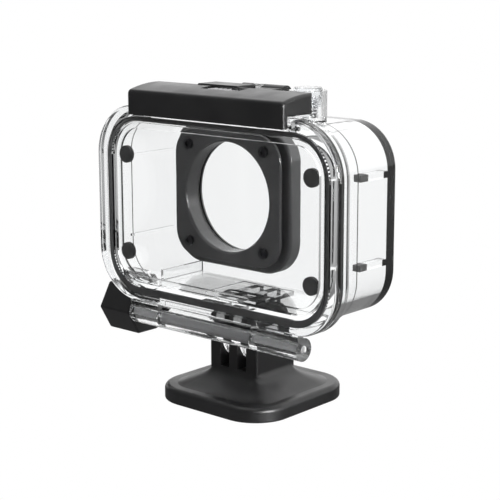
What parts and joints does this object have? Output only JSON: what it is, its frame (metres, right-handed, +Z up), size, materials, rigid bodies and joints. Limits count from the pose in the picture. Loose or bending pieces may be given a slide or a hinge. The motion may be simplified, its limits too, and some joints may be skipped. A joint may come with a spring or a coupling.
{
  "type": "camera housing",
  "caption": "Clear waterproof housing for a small action camera, with hinged door, top latch, push button and a tilting square stand.",
  "frame": {"origin": "centre of the stand's underside", "axes": "+Z up, +Y from the door towards the lens port, +X to the right as seen from the door"},
  "size_m": [0.0947, 0.04, 0.0856],
  "materials": {
    "clear_plastic": "polished clear polycarbonate",
    "lens_glass": "polished, coated",
    "black_plastic": "fine matte spark-eroded texture",
    "satin_black": "satin, smooth",
    "grey_plastic": "satin",
    "pale_silicone": "smooth silicone",
    "button_plastic": "polished",
    "grey_silicone": "smooth silicone",
    "black_rubber": "matte",
    "foam_pad": "closed-cell foam",
    "steel": "stainless, turned",
    "dark_steel": "blackened"
  },
  "bodies": {
    "base": {"base_plinth": "black_plastic", "base_pad": "foam_pad", "clamp_nut": "steel"},
    "thumb_screw": {"clamp_screw": "steel", "clamp_washer": "steel", "thumb_knob": "black_plastic"},
    "housing": {"housing_shell": "clear_plastic", "rail_pads": "black_rubber", "lens_frame": "satin_black", "lens_plate": "satin_black", "lens_gasket": "black_rubber", "lens_window": "lens_glass", "lens_retainer": "satin_black", "port_seal": "pale_silicone", "lens_screws": "dark_steel", "hinge_pin": "steel", "latch_pin": "steel", "shutter_ring": "black_rubber"},
    "door": {"back_door": "clear_plastic", "door_seal": "grey_silicone", "door_pads": "black_rubber"},
    "latch": {"latch_arm": "black_plastic"},
    "lock": {"latch_lock": "grey_plastic"},
    "shutter": {"shutter_button": "button_plastic", "shutter_clip": "steel", "shutter_spring": "steel"}
  },
  "joints": [
    {"name": "tilt", "type": "hinge", "parent": "base", "child": "housing", "pos_m": [0, 0, 0.0178], "axis": [1, 0, 0], "range_deg": [-60, 30]},
    {"name": "thumb_screw_turn", "type": "hinge", "parent": "base", "child": "thumb_screw", "pos_m": [0, 0, 0.0178], "axis": [1, 0, 0], "continuous": true},
    {"name": "door_hinge", "type": "hinge", "parent": "housing", "child": "door", "pos_m": [0, -0.0145, 0.0216], "axis": [1, 0, 0], "range_deg": [0, 105]},
    {"name": "latch_hinge", "type": "hinge", "parent": "housing", "child": "latch", "pos_m": [0.004, 0.003, 0.0826], "axis": [-1, 0, 0], "range_deg": [0, 80]},
    {"name": "lock_slide", "type": "slide", "parent": "latch", "child": "lock", "axis": [1, 0, 0], "range_m": [0, 0.0032]},
    {"name": "shutter_press", "type": "slide", "parent": "housing", "child": "shutter", "axis": [0, 0, -1], "range_m": [0, 0.0015], "stiffness_N_per_m": 400, "deforming": ["shutter_spring"]}
  ]
}
